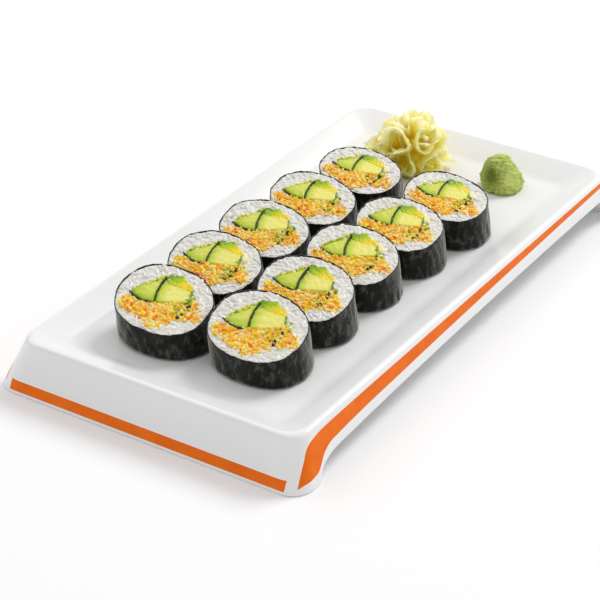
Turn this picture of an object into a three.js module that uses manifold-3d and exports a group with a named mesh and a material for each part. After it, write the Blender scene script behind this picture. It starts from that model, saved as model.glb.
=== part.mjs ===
// A maki sushi set on its long porcelain plate: two rows of five thick roll slices,
// a heap of pickled ginger and a mound of wasabi.
// Millimetres, +Z up. X runs across the plate and +Y from its front end to its back end.
// The origin is the middle of the plate's footprint, on the surface that it stands on.
import * as THREE from 'three';
import { mergeVertices } from 'three/addons/utils/BufferGeometryUtils.js';
import Module from 'manifold-3d';

const wasm = await Module();
wasm.setup();
const { Manifold } = wasm;

// ---- Driving sizes ----

const TOUCH_GAP = 0.3; // clearance between pieces that rest on or against each other
const SLIVER = 0.04; // edges and steps smaller than this are smoothed away after fusing

const PLATE = {
  rimX: 168, // across the ridge
  rimY: 327, // along the ridge
  height: 25.5,
  flareX: 8, // how far each long side leans out between ridge and foot
  flareY: 10, // how far each end leans out between ridge and foot
  rimDrop: 7, // from the ridge down to the floor that the food lies on
  rimRun: 20, // width of the sloping inner rim
  floorFillet: 3.5,
  ridgeRadius: 3,
  footBevel: 1.2,
  cornerRadius: 12,
  innerCornerRadius: 7,
  legWidth: 18, // length of the front foot along Y
  archRun: 22, // how far from the front foot the underside curves up steeply
  archSpring: 10, // height of the underside where that curve ends
  archCrown: 14.2, // height of the underside towards the back
  archBend: -20, // the underside is nearly level from about here to the back foot
  backLegWidth: 14,
  backArchRun: 8,
};
const FLOOR_Z = PLATE.height - PLATE.rimDrop;

const ROLL = {
  halfX: 26.4,
  halfY: 21.9, // squashed a little by its neighbours in the row
  squareness: 2.25, // exponent of the outline: 2 is an ellipse
  height: 21.2,
  frontSlope: [-0.07, 0.305], // the cuts are slanted, lower towards +X and -Y
  backSlope: [-0.11, 0.155],
  slopeSpread: 0.02,
  heightSpread: 0.6,
  lean: -0.125, // how far the slices lean in X for each millimetre up
  baseSpread: 0.4, // a slice sags and is this much wider in X at its base, on each side
  bottomInset: 1.6,
  bottomRound: 2.4,
  noriThickness: 0.8,
  riceDrop: 0.3, // rice lies this far below the edge of the nori
  sides: 24,
};
const ROLLS_PER_ROW = 5;
const ROW_TAPER = 0.104; // the last slice of a row is this much smaller than its first
// Each row starts with its front slice at x, y. Towards the back it drifts in X and bends.
const ROWS = [
  { name: 'left', x: -27.4, y: -111, drift: -4.9, bend: 13.6, gap: 1.8, seed: 11 },
  { name: 'right', x: 26.7, y: -107, drift: -5.3, bend: 15.4, gap: 0.4, seed: 47 },
];

// The filling is laid out in u (to the right) and v (to the back) as seen from the front
// right corner of the plate, where 1 is about the edge of the slice.
const FILLING_TURN = 29.4 * Math.PI / 180;
const FILLING_TURN_SPREAD = 0.12;
const FILLING_REACH_U = 26.7;
const FILLING_REACH_V = 23.9;
const CUCUMBER_LEFT = [[-0.66, 0.24], [-0.38, 0.41], [-0.05, 0.58], [-0.13, 0.32], [-0.2, -0.06], [-0.42, -0.03]];
const CUCUMBER_RIGHT = [[-0.02, 0.55], [0.2, 0.36], [0.5, 0.2], [0.48, -0.1], [0.12, -0.12], [-0.16, -0.07],
  [-0.1, 0.3]];
const LETTUCE = [[0.0, 0.63], [0.14, 0.72], [0.34, 0.62], [0.48, 0.42], [0.52, 0.26], [0.22, 0.42]];
const CUCUMBER_RISE = 0.7;
const LETTUCE_RISE = 0.4;
const INLAY_DEPTH = 2.4;
const CARROT_BAND = [[-0.82, 0.02], [-0.66, 0.12], [-0.4, -0.1], [0, -0.16], [0.48, -0.14], [0.62, -0.06],
  [0.72, -0.48], [0.5, -0.56], [0.2, -0.6], [-0.2, -0.72], [-0.5, -0.46], [-0.8, -0.16]];
const CARROT_BITS = 14;
const CARROT_BIT_RADIUS = 1.5;
const CARROT_BIT_SPACING = 3.4;

const GRAIN = { halfLength: 2.6, halfWidth: 1.25, halfHeight: 1.15, sink: 0.1 };
const GRAIN_RINGS = [
  { reach: 0.885, count: 11 },
  { reach: 0.765, count: 6 },
];

const GINGER = { x: -22.8, y: 118.6, coreRadiusX: 20, coreRadiusY: 15.5, coreHeight: 15.5, middleZ: 6.2, seed: 5 };
// Each slice is folded into a funnel that opens outwards from the middle of the heap.
const FOLD = { thickness: 1.7, sides: 9, rootRadius: 3.5, hollowFrom: 0.4 };
const FOLD_LOBES = 3;
const FOLD_LOBE_DEPTH = 0.14;
const FOLD_RIM_WAVE = 2.4;
// Lift and heading are in degrees; heading is that of the tier's first fold, anticlockwise from +X.
const GINGER_TIERS = [
  { count: 7, heading: -117, lift: 10, start: 7.3, length: 16.6, mouth: 9.4 },
  { count: 5, heading: -86, lift: 46, start: 5.2, length: 17.7, mouth: 10.4 },
  { count: 2, heading: 60, lift: 78, start: 8.3, length: 16.6, mouth: 8.3 },
];

// Its top leans over by leanX and leanY.
const WASABI = { x: 35.3, y: 125.1, leanX: -2.4, leanY: -1.5, sides: 18, roughness: 0.04, seed: 23 };
const WASABI_PROFILE = [
  { z: 0, radius: 10.9 },
  { z: 4.4, radius: 12 },
  { z: 8.2, radius: 11 },
  { z: 11.2, radius: 9.4 },
  { z: 15, radius: 7.4 },
  { z: 18, radius: 5 },
  { z: 19.7, radius: 2 },
];
// The thumb's hollow and the flat face beside it; heading and halfAngle are in degrees.
const WASABI_DENTS = [
  { heading: -104, halfAngle: 55, z: 9.3, halfHeight: 8.5, depth: 3 },
  { heading: -24, halfAngle: 50, z: 8.3, halfHeight: 8.5, depth: 1.6 },
];

const COLOURS = {
  porcelain: 0xf2f1ef,
  roll: 0xdcdccf,
  ginger: 0xf3dd78,
  wasabi: 0x94a84e,
};

// ---- Helpers ----

// Seeded random numbers from 0 to 1.
function randomSource(seed) {
  let state = seed;
  return () => {
    state = (state * 1664525 + 1013904223) % 4294967296;
    return state / 4294967296;
  };
}

function between(random, low, high) {
  return low + (high - low) * random();
}

// A closed skin through rings of points that run anticlockwise seen from above, listed
// from the bottom cap, up the outside and in to the top cap.
function loft(rings) {
  const count = rings[0].length;
  const positions = rings.flat(2);
  const index = [];
  for (let level = 0; level + 1 < rings.length; level += 1) {
    for (let i = 0; i < count; i += 1) {
      const low = level * count + i;
      const lowNext = level * count + (i + 1) % count;
      index.push(low, lowNext, lowNext + count, low, lowNext + count, low + count);
    }
  }
  const top = (rings.length - 1) * count;
  const bottomCentre = positions.length / 3;
  positions.push(...centroid(rings[0]), ...centroid(rings.at(-1)));
  for (let i = 0; i < count; i += 1) {
    const next = (i + 1) % count;
    index.push(bottomCentre, next, i);
    index.push(bottomCentre + 1, top + i, top + next);
  }
  return indexedGeometry(positions, index);
}

function centroid(points) {
  const sum = points.reduce((total, point) => total.map((value, axis) => value + point[axis]), [0, 0, 0]);
  return sum.map((value) => value / points.length);
}

function indexedGeometry(positions, index) {
  const geometry = new THREE.BufferGeometry();
  geometry.setAttribute('position', new THREE.Float32BufferAttribute(positions, 3));
  geometry.setIndex(index);
  return geometry;
}

function toManifold(geometry) {
  const bare = geometry.clone();
  bare.deleteAttribute('normal');
  bare.deleteAttribute('uv');
  const merged = mergeVertices(bare, 1e-4);
  const mesh = new wasm.Mesh({
    numProp: 3,
    vertProperties: new Float32Array(merged.attributes.position.array),
    triVerts: new Uint32Array(merged.index.array),
  });
  mesh.merge();
  return new Manifold(mesh);
}

// The pieces fused into one body, with any hollow sealed between them filled.
function fuse(parts) {
  const skins = Manifold.union(parts).decompose();
  const outer = skins.reduce((largest, skin) => (skin.volume() > largest.volume() ? skin : largest));
  return outer.simplify(SLIVER);
}

function toGeometry(manifold) {
  const mesh = manifold.getMesh();
  return indexedGeometry(Array.from(mesh.vertProperties), Array.from(mesh.triVerts));
}

function piece(name, manifold, colour, roughness) {
  const material = new THREE.MeshStandardMaterial({ color: colour, roughness, metalness: 0 });
  material.flatShading = true;
  const mesh = new THREE.Mesh(toGeometry(manifold), material);
  mesh.name = name;
  return mesh;
}

// ---- Plate ----

function roundedRectangle(halfX, halfY, radius, z) {
  const cornerSteps = 6;
  const points = [];
  const corners = [[1, 1], [-1, 1], [-1, -1], [1, -1]];
  corners.forEach(([signX, signY], corner) => {
    for (let step = 0; step <= cornerSteps; step += 1) {
      const angle = (corner + step / cornerSteps) * Math.PI / 2;
      const x = signX * (halfX - radius) + radius * Math.cos(angle);
      const y = signY * (halfY - radius) + radius * Math.sin(angle);
      points.push([x, y, z]);
    }
  });
  return points;
}

// One ring of the plate's skin: inset is measured in from the ridge's outer edge.
function plateRing(inset, z) {
  const wallTop = PLATE.height - PLATE.ridgeRadius;
  const flare = Math.max(0, 1 - z / wallTop) * (inset < PLATE.ridgeRadius ? 1 : 0);
  const halfX = PLATE.rimX / 2 + PLATE.flareX * flare - inset;
  const halfY = PLATE.rimY / 2 + PLATE.flareY * flare - inset;
  const inward = Math.min(1, inset / PLATE.rimRun);
  const radius = THREE.MathUtils.lerp(PLATE.cornerRadius, PLATE.innerCornerRadius, inward);
  return roundedRectangle(halfX, halfY, radius, z);
}

function plateRings() {
  const rings = [plateRing(PLATE.footBevel, 0), plateRing(0, PLATE.footBevel)];
  const ridgeSteps = 5;
  const ridgeEnd = 110 * Math.PI / 180;
  let inset = 0;
  let z = 0;
  for (let step = 0; step <= ridgeSteps; step += 1) {
    const angle = ridgeEnd * step / ridgeSteps;
    inset = PLATE.ridgeRadius * (1 - Math.cos(angle));
    z = PLATE.height - PLATE.ridgeRadius * (1 - Math.sin(angle));
    rings.push(plateRing(inset, z));
  }
  const slope = (z - FLOOR_Z) / (PLATE.rimRun - inset);
  const fillet = new THREE.QuadraticBezierCurve(
    new THREE.Vector2(PLATE.rimRun - PLATE.floorFillet, FLOOR_Z + slope * PLATE.floorFillet),
    new THREE.Vector2(PLATE.rimRun, FLOOR_Z),
    new THREE.Vector2(PLATE.rimRun + PLATE.floorFillet, FLOOR_Z),
  );
  fillet.getPoints(4).forEach((point) => rings.push(plateRing(point.x, point.y)));
  return rings;
}

// The gap under the plate between its two feet, as a bar that runs right across. It sweeps up
// from the front foot and comes down steeply at the back foot.
function archCutter() {
  const endY = PLATE.rimY / 2 + PLATE.flareY;
  const lean = PLATE.flareY / PLATE.height;
  const frontFootY = -endY + PLATE.legWidth;
  const frontTurnY = frontFootY + lean * PLATE.archSpring;
  const frontSpringY = frontTurnY + PLATE.archRun;
  const backFootY = endY - PLATE.backLegWidth;
  const backTurnY = backFootY - lean * PLATE.archCrown;
  const backSpringY = backTurnY - PLATE.backArchRun;
  const below = -1;
  const shape = new THREE.Shape();
  shape.moveTo(frontFootY - lean, below);
  shape.lineTo(backFootY + lean, below);
  shape.lineTo(backFootY, 0);
  shape.quadraticCurveTo(backTurnY, PLATE.archCrown, backSpringY, PLATE.archCrown);
  shape.quadraticCurveTo(PLATE.archBend, PLATE.archCrown, frontSpringY, PLATE.archSpring);
  shape.quadraticCurveTo(frontTurnY, PLATE.archSpring, frontFootY, 0);
  shape.closePath();
  const depth = PLATE.rimX + 4 * PLATE.flareX;
  const bar = new THREE.ExtrudeGeometry(shape, { depth, bevelEnabled: false, curveSegments: 8 });
  bar.translate(0, 0, -depth / 2);
  const alongY = new THREE.Vector3(0, 1, 0);
  const alongZ = new THREE.Vector3(0, 0, 1);
  const alongX = new THREE.Vector3(1, 0, 0);
  bar.applyMatrix4(new THREE.Matrix4().makeBasis(alongY, alongZ, alongX));
  return toManifold(bar);
}

function makePlate() {
  const body = toManifold(loft(plateRings()));
  return piece('plate', body.subtract(archCutter()), COLOURS.porcelain, 0.18);
}

// ---- Roll slices ----

// Outline of a slice at an angle, never beyond halfX and its spread by halfY.
function outlinePoint(angle, inset, wobble, spread = 0) {
  const power = 2 / ROLL.squareness;
  const cos = Math.cos(angle);
  const sin = Math.sin(angle);
  const waves = 0.006 * (1 + Math.sin(2 * angle + wobble)) + 0.004 * (1 + Math.sin(5 * angle + 2 * wobble));
  const x = (ROLL.halfX + spread - inset) * Math.sign(cos) * Math.abs(cos) ** power;
  const y = (ROLL.halfY - inset) * Math.sign(sin) * Math.abs(sin) ** power;
  return [x * (1 - waves), y * (1 - waves)];
}

function rollRing(inset, z, wobble, spread = 0) {
  const points = [];
  for (let side = 0; side < ROLL.sides; side += 1) {
    const [x, y] = outlinePoint(2 * Math.PI * side / ROLL.sides, inset, wobble, spread);
    points.push([x, y, z]);
  }
  return points;
}

function rollBody(height, wobble) {
  return toManifold(loft([
    rollRing(ROLL.bottomInset, 0, wobble, ROLL.baseSpread),
    rollRing(0, ROLL.bottomRound, wobble, ROLL.baseSpread),
    rollRing(0, height, wobble),
    rollRing(ROLL.noriThickness, height, wobble),
    rollRing(ROLL.noriThickness, height - ROLL.riceDrop, wobble),
  ]));
}

// From the filling's u and v to x and y on the slice.
function fillingPoint([u, v], turn) {
  const right = u * FILLING_REACH_U;
  const back = v * FILLING_REACH_V;
  return [right * Math.cos(turn) - back * Math.sin(turn), right * Math.sin(turn) + back * Math.cos(turn)];
}

// A flat piece of filling that stands up by rise above the rice.
function inlay(outline, rise, riceZ, turn) {
  const corners = outline.map((point) => new THREE.Vector2(...fillingPoint(point, turn)));
  const shape = new THREE.Shape(corners);
  const block = new THREE.ExtrudeGeometry(shape, { depth: INLAY_DEPTH + rise, bevelEnabled: false });
  block.translate(0, 0, riceZ - INLAY_DEPTH);
  return toManifold(block);
}

function riceGrains(riceZ, wobble, random) {
  const grains = [];
  GRAIN_RINGS.forEach(({ reach, count }) => {
    for (let i = 0; i < count; i += 1) {
      const angle = 2 * Math.PI * (i + between(random, 0.2, 0.8)) / count;
      const [edgeX, edgeY] = outlinePoint(angle, 0, wobble);
      const grain = new THREE.IcosahedronGeometry(1, 0);
      grain.scale(GRAIN.halfLength, GRAIN.halfWidth, GRAIN.halfHeight);
      grain.rotateZ(between(random, 0, Math.PI));
      grain.translate(edgeX * reach, edgeY * reach, riceZ - GRAIN.sink);
      grains.push(toManifold(grain));
    }
  });
  return grains;
}

// True where a point lies inside a closed outline.
function isInside([u, v], outline) {
  let inside = false;
  outline.forEach(([u1, v1], i) => {
    const [u2, v2] = outline[(i + 1) % outline.length];
    if ((v1 > v) !== (v2 > v) && u < (u2 - u1) * (v - v1) / (v2 - v1) + u1) {
      inside = !inside;
    }
  });
  return inside;
}

function carrotBits(riceZ, turn, random) {
  const centres = [];
  const tries = 900;
  for (let attempt = 0; attempt < tries && centres.length < CARROT_BITS; attempt += 1) {
    const spot = [between(random, -0.85, 0.75), between(random, -0.75, 0.15)];
    const [x, y] = fillingPoint(spot, turn);
    const clear = centres.every(([otherX, otherY]) => Math.hypot(x - otherX, y - otherY) > CARROT_BIT_SPACING);
    if (isInside(spot, CARROT_BAND) && clear) {
      centres.push([x, y]);
    }
  }
  return centres.map(([x, y]) => {
    const bit = new THREE.OctahedronGeometry(CARROT_BIT_RADIUS);
    bit.rotateZ(between(random, 0, Math.PI));
    bit.translate(x, y, riceZ);
    return toManifold(bit);
  });
}

// Where a slice stands in its row: its size against the front slice, its slope and its place.
function placeInRow(row, number) {
  const share = (number - 1) / (ROLLS_PER_ROW - 1);
  const size = 1 - ROW_TAPER * share;
  const slope = ROLL.frontSlope.map((front, axis) => THREE.MathUtils.lerp(front, ROLL.backSlope[axis], share));
  const meanSize = (1 + size) / 2;
  const y = row.y + (number - 1) * (2 * ROLL.halfY * meanSize + row.gap);
  return { size, slope, x: row.x + row.drift * share + row.bend * share ** 2, y };
}

function makeRoll(row, number) {
  const random = randomSource(row.seed + number);
  const place = placeInRow(row, number);
  const wobble = between(random, 0, 2 * Math.PI);
  const height = ROLL.height + between(random, -1, 1) * ROLL.heightSpread;
  const slopeX = place.slope[0] + between(random, -1, 1) * ROLL.slopeSpread;
  const slopeY = place.slope[1] + between(random, -1, 1) * ROLL.slopeSpread;
  const turn = FILLING_TURN + between(random, -1, 1) * FILLING_TURN_SPREAD;
  const riceZ = height - ROLL.riceDrop;
  const level = fuse([
    rollBody(height, wobble),
    inlay(CUCUMBER_LEFT, CUCUMBER_RISE, riceZ, turn),
    inlay(CUCUMBER_RIGHT, CUCUMBER_RISE, riceZ, turn),
    inlay(LETTUCE, LETTUCE_RISE, riceZ, turn),
    ...riceGrains(riceZ, wobble, random),
    ...carrotBits(riceZ, turn, random),
  ]);
  const slanted = level.warp((point) => {
    point[0] *= place.size;
    point[1] *= place.size;
    point[2] *= 1 + (slopeX * point[0] + slopeY * point[1]) / height;
    point[0] += ROLL.lean * point[2];
  });
  const roll = piece(`roll_${row.name}_${number}`, slanted, COLOURS.roll, 0.6);
  roll.position.set(place.x, place.y, FLOOR_Z + TOUCH_GAP);
  return roll;
}

// ---- Pickled ginger ----

function gingerCore() {
  const sides = 14;
  const levels = 4;
  const rings = [];
  for (let level = 0; level < levels; level += 1) {
    const rise = level / levels;
    const reach = Math.sqrt(1 - rise ** 2);
    const ring = [];
    for (let side = 0; side < sides; side += 1) {
      const angle = 2 * Math.PI * side / sides;
      const x = GINGER.coreRadiusX * reach * Math.cos(angle);
      const y = GINGER.coreRadiusY * reach * Math.sin(angle);
      ring.push([x, y, GINGER.coreHeight * rise]);
    }
    rings.push(ring);
  }
  return toManifold(loft(rings));
}

// A ring of a fold's skin, share of the way from its root (0) to its mouth (1).
function foldRing(fold, share, inset) {
  const radius = THREE.MathUtils.lerp(FOLD.rootRadius, fold.mouth, share) - inset;
  const ring = [];
  for (let side = 0; side < FOLD.sides; side += 1) {
    const angle = 2 * Math.PI * side / FOLD.sides;
    const lobe = 1 + FOLD_LOBE_DEPTH * share * Math.cos(FOLD_LOBES * angle + fold.lobePhase);
    const wave = FOLD_RIM_WAVE * share ** 2 * Math.cos(2 * angle + fold.wavePhase);
    const across = radius * lobe * Math.cos(angle);
    const up = radius * lobe * fold.squash * Math.sin(angle);
    const local = new THREE.Vector3(fold.start + fold.length * share + wave, across, up);
    local.applyEuler(fold.aim);
    ring.push([local.x, local.y, local.z + GINGER.middleZ]);
  }
  return ring;
}

// A slice of ginger folded into a thin funnel, cut off where it would reach into the plate.
function gingerFold(tier, heading, random) {
  const lift = THREE.MathUtils.degToRad(tier.lift + between(random, -7, 7));
  const roll = between(random, -0.5, 0.5);
  const fold = {
    start: tier.start,
    length: tier.length * between(random, 0.88, 1.12),
    mouth: tier.mouth * between(random, 0.88, 1.12),
    squash: between(random, 0.6, 0.95),
    lobePhase: between(random, 0, 2 * Math.PI),
    wavePhase: between(random, 0, 2 * Math.PI),
    aim: new THREE.Euler(roll, -lift, heading, 'ZYX'),
  };
  const outside = [0, 0.7, 1].map((share) => foldRing(fold, share, 0));
  const inside = [1, FOLD.hollowFrom].map((share) => foldRing(fold, share, FOLD.thickness));
  return toManifold(loft([...outside, ...inside])).trimByPlane([0, 0, 1], 0);
}

function makeGinger() {
  const random = randomSource(GINGER.seed);
  const folds = GINGER_TIERS.flatMap((tier) => Array.from({ length: tier.count }, (_, i) => {
    const spacing = 360 / tier.count;
    const heading = tier.heading + (i + between(random, -0.12, 0.12)) * spacing;
    return gingerFold(tier, THREE.MathUtils.degToRad(heading), random);
  }));
  const ginger = piece('pickled_ginger', fuse([gingerCore(), ...folds]), COLOURS.ginger, 0.4);
  ginger.position.set(GINGER.x, GINGER.y, FLOOR_Z + TOUCH_GAP);
  return ginger;
}

// ---- Wasabi ----

function dentAt(angle, z) {
  return WASABI_DENTS.reduce((depth, dent) => {
    const turn = THREE.MathUtils.euclideanModulo(THREE.MathUtils.radToDeg(angle) - dent.heading + 180, 360) - 180;
    const distance = Math.min(1, Math.hypot(turn / dent.halfAngle, (z - dent.z) / dent.halfHeight));
    return depth + dent.depth * (0.5 + 0.5 * Math.cos(Math.PI * distance));
  }, 0);
}

function makeWasabi() {
  const random = randomSource(WASABI.seed);
  const top = WASABI_PROFILE.at(-1).z;
  const rings = WASABI_PROFILE.map(({ z, radius }, level) => Array.from({ length: WASABI.sides }, (_, side) => {
    const angle = 2 * Math.PI * side / WASABI.sides;
    const reach = radius * (1 + WASABI.roughness * between(random, -1, 1)) - dentAt(angle, z);
    const lump = level === 0 ? 0 : between(random, -0.4, 0.4);
    const x = WASABI.leanX * z / top + reach * Math.cos(angle);
    const y = WASABI.leanY * z / top + reach * Math.sin(angle);
    return [x, y, z + lump];
  }));
  const wasabi = piece('wasabi', toManifold(loft(rings)), COLOURS.wasabi, 0.75);
  wasabi.position.set(WASABI.x, WASABI.y, FLOOR_Z + TOUCH_GAP);
  return wasabi;
}

// ---- The whole set ----

const sushiSet = new THREE.Group();
sushiSet.add(makePlate());
ROWS.forEach((row) => {
  for (let number = 1; number <= ROLLS_PER_ROW; number += 1) {
    sushiSet.add(makeRoll(row, number));
  }
});
sushiSet.add(makeGinger(), makeWasabi());

export default sushiSet;
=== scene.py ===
import math

import bmesh
import bpy
import numpy as np
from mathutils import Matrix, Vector
from mathutils.geometry import delaunay_2d_cdt


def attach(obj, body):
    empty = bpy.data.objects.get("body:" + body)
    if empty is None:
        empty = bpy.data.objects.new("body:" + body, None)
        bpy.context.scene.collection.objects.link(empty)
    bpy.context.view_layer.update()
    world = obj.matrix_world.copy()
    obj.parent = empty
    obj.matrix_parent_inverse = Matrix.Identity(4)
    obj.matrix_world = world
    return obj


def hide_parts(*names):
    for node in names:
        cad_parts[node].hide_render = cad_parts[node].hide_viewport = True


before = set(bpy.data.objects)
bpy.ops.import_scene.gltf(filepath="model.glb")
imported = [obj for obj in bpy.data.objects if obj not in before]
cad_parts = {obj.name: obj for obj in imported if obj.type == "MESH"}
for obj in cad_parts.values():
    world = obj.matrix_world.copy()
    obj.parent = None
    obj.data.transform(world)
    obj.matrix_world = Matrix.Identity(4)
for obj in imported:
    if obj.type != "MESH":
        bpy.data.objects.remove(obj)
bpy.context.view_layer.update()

MM = 0.001
TAU = 2 * math.pi

# ---- Sizes of the plate, in millimetres ----

TOUCH_GAP = 0.3
PLATE_RIM = (168.0, 327.0)  # across and along the ridge
PLATE_HEIGHT = 25.5
PLATE_FLARE = (8.0, 10.0)  # how far sides and ends lean out between ridge and foot
PLATE_RIM_DROP = 7.0
PLATE_RIM_RUN = 20.0
PLATE_FLOOR_FILLET = 3.5
PLATE_RIDGE_RADIUS = 3.0
PLATE_RIDGE_TURN = math.radians(110)  # how far the ridge's round goes over
PLATE_FOOT_BEVEL = 1.2
PLATE_CORNER_RADIUS = 12.0
PLATE_INNER_CORNER_RADIUS = 7.0
PLATE_LEG_WIDTH = 18.0
PLATE_ARCH_RUN = 22.0
PLATE_ARCH_SPRING = 10.0  # height of the underside where the curve from the front foot ends
PLATE_ARCH_CROWN = 14.2  # height of the underside towards the back
PLATE_ARCH_BEND = -20.0  # the underside is nearly level from about here to the back foot
PLATE_BACK_LEG_WIDTH = 14.0
PLATE_BACK_ARCH_RUN = 8.0
PLATE_CORNER_STEPS = 18
PLATE_RINGS = (5, 17, 13)  # how many go round the foot's bevel, the ridge and the floor's fillet
PLATE_EDGE_SOFTNESS = 0.9
PLATE_SOFT_ANGLE = math.radians(40)  # edges that turn more than this are rounded
PLATE_SHARP_ANGLE = math.radians(35)  # and they shade as edges from this on
FLOOR_Z = PLATE_HEIGHT - PLATE_RIM_DROP

# The side stripe's edges as (distance along Y, height): it sweeps down the front foot and thins
# towards the back.
STRIPE_UPPER = [
    (-168.8, 3), (-166.1, 7), (-163.3, 10.8), (-160.6, 14.2), (-158, 17.5), (-154.2, 20.2), (-148.3, 21.3),
    (-141, 21.9), (-110, 22.3), (-60, 22.5), (0, 22.8), (60, 23), (120, 23.2), (168, 23.3),
]
STRIPE_LOWER = [
    (-168.8, 3), (-165.2, 4.2), (-159, 5), (-154.6, 5.7), (-150.9, 8), (-147.2, 10.8), (-143.4, 12.6),
    (-139, 13.8), (-133, 14.2), (-125, 14.7), (-103, 15.6), (-74, 16.3), (-44, 17.1), (-13, 17.8),
    (20, 18.5), (53, 19.1), (88, 19.7), (124, 20.3), (168, 21),
]
STRIPE_DEPTH = 1.2
END_STRIPE_HEIGHTS = (1.9, 6.8)
END_STRIPE_HALF_LENGTH = 82.0
END_STRIPE_DEPTH = 6.0
CUTTER_OVERSHOOT = 2.0

# ---- Sizes of the slices, in millimetres ----

ROLL_HALF_X = 26.4
ROLL_HALF_Y = 21.9
ROLL_RADIUS = (ROLL_HALF_X + ROLL_HALF_Y) / 2
ROLL_SQUARENESS = 2.25
ROLL_HEIGHT = 21.2
ROLL_FRONT_SLOPE = (-0.07, 0.305)
ROLL_BACK_SLOPE = (-0.11, 0.155)
ROLL_SLOPE_SPREAD = 0.02
ROLL_HEIGHT_SPREAD = 0.6
ROLL_LEAN = -0.125  # how far the slices lean in X for each millimetre up
ROLL_BASE_SPREAD = 0.4  # a slice sags and is this much wider in X at its base, on each side
ROLL_BOTTOM_INSET = 1.6
ROLL_BOTTOM_ROUND = 3.2
ROLLS_PER_ROW = 5
ROW_TAPER = 0.104
ROWS = {
    "left": {"x": -27.4, "y": -111.0, "drift": -4.9, "bend": 13.6, "gap": 1.8, "seed": 11},
    "right": {"x": 26.7, "y": -107.0, "drift": -5.3, "bend": 15.4, "gap": 0.4, "seed": 47},
}

NORI_THICKNESS = 0.4
NORI_SIDES = 260
NORI_LEVELS = 40
RICE_DROP = 0.3
RICE_INSET = 0.9 * NORI_THICKNESS
RICE_SIDES = 130
RICE_LEVELS = (0.1, 1.0, 2.0, 4.0, 9.0, 14.0)
RICE_GRAIN = [(2.1, 2.8), (1.15, 1.4), (0.8, 1.0)]  # half its length, width and height, from least to most
RICE_GRAIN_SPACING = 2.2
RICE_GRAIN_SUNK = (0.46, 0.7)
CARROT_SPACING = 1.25
CARROT_SHRED_SHARE = 0.45
CARROT_SHRED = ((1.0, 1.5), (1.9, 3.2))  # its size, and how much longer than wide it is
CARROT_CRUMB = ((1.4, 2.4), (0.9, 1.4))
# The share at 0.74 reads as pale cream on the carrot ramp: painted highlights on those crumbs.
CARROT_TINTS = {0.22: 0.09, 0.42: 0.25, 0.58: 0.28, 0.74: 0.29, 0.92: 0.09}  # each with its share
CARROT_RED_TINT = 0.03
FILLING_DEPTH = 2.4

# The filling is laid out in u (to the right) and v (to the back) as seen from the plate's front right
# corner, in percent, where 100 is about the edge of the slice.
PERCENT = 100
FILLING_TURN = math.radians(29.4)
FILLING_TURN_SPREAD = 0.12
FILLING_REACH = (26.7, 23.9)
CUCUMBER_LEFT = [
    (-66, 24), (-52, 32), (-37, 40), (-3, 57), (-10, 35), (-16, 12), (-18.5, -8), (-31, -5), (-42, -2),
    (-54, 8),
]
CUCUMBER_LEFT_SKIN = [(-68, 23), (-62, 15), (-54, 7), (-42, -3), (-30, -7), (-24, -9)]
CUCUMBER_RIGHT = [
    (-2, 50), (10, 41), (20, 36), (49, 22), (51, 16), (50, 0), (47, -12), (10, -10), (-16.5, -9),
    (-14.5, 16), (-8.5, 38),
]
CUCUMBER_RIGHT_SKIN = [(1, 60), (-8, 40), (-15, 18), (-18, -8)]
CUCUMBER_END_SHREDS = [(53, 22), (52, 8), (50, -4), (46, -13)]
LETTUCE = [
    (-1, 52), (2, 70), (11, 68), (20, 64), (34, 65), (37, 55), (44, 45), (55, 34), (54, 20), (48, 18),
    (20, 32), (6, 40),
]
LETTUCE_FRINGE = [(-64, 26), (-54, 38), (-38, 46), (-21, 54.5), (-2, 64), (2, 58), (-6, 53), (-38, 36)]
CARROT_BAND = [
    (-84, 0), (-78, 9), (-65, 13), (-42, -4), (-30, -8), (0, -8), (44, -11), (56, -2), (65, -20),
    (76, -50), (70, -66), (54, -57), (23, -57), (2, -70), (-21, -75), (-31, -64), (-49, -44), (-65, -32),
    (-80, -14),
]
GREEN_POCKET = [(20, -20), (42, -14), (50, 10), (62, 2), (64, -14), (50, -30), (38, -50), (20, -46)]
SESAME = [(47, -26), (49, -20), (37, -45), (30, -52)]
RED_CRUMBS = [
    (-65, -10), (-60, -12), (-28, -43), (-27, -59), (-12, -53), (-12, -47), (54, -52), (60, -50),
    (-42, -50),
]
EGG_CHUNK = [(52, 32), (62, 28), (70, 6), (60, -2), (50, 10)]
ROLLS_WITH_EGG = {"left_2", "left_5", "right_3", "right_4", "right_5"}

# ---- Sizes of the ginger and the wasabi, in millimetres ----

GINGER = {"x": -22.8, "y": 118.6, "core": (20.5, 16.5, 18.0), "middle_z": 6.2, "seed": 5}
GINGER_CORE_SIDES = 48
GINGER_CORE_LEVELS = 16
GINGER_UNDERSIDE = 0.15
GINGER_SKIN_CELL = 0.62
GINGER_HOLLOW_SHADE_REACH = 12.0  # painted shade: the slices are a deeper, more saturated gold this near the middle of the heap, for its shaded hollows and the light bounced between the folds, and pale further out
GINGER_HOLLOW_SHADE_FADE = 10.0
# Each slice is folded into a funnel that opens outwards from the middle of the heap.
FOLD_CELLS = (22, 72)
FOLD_THICKNESS = 1.6
FOLD_ROOT_RADIUS = 3.0
FOLD_OVERLAP = 0.7
FOLD_LOBES = 3
FOLD_LOBE_DEPTH = 0.14
FOLD_RIM_WAVE = 2.4
# Lift and heading are in degrees; heading is that of the tier's first fold, anticlockwise from +X.
GINGER_TIERS = [
    {"count": 7, "heading": -117, "lift": 10, "start": 7.3, "length": 16.6, "mouth": 9.4},
    {"count": 5, "heading": -86, "lift": 46, "start": 5.2, "length": 17.7, "mouth": 10.4},
    {"count": 2, "heading": 60, "lift": 78, "start": 8.3, "length": 16.6, "mouth": 8.3},
]

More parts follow.
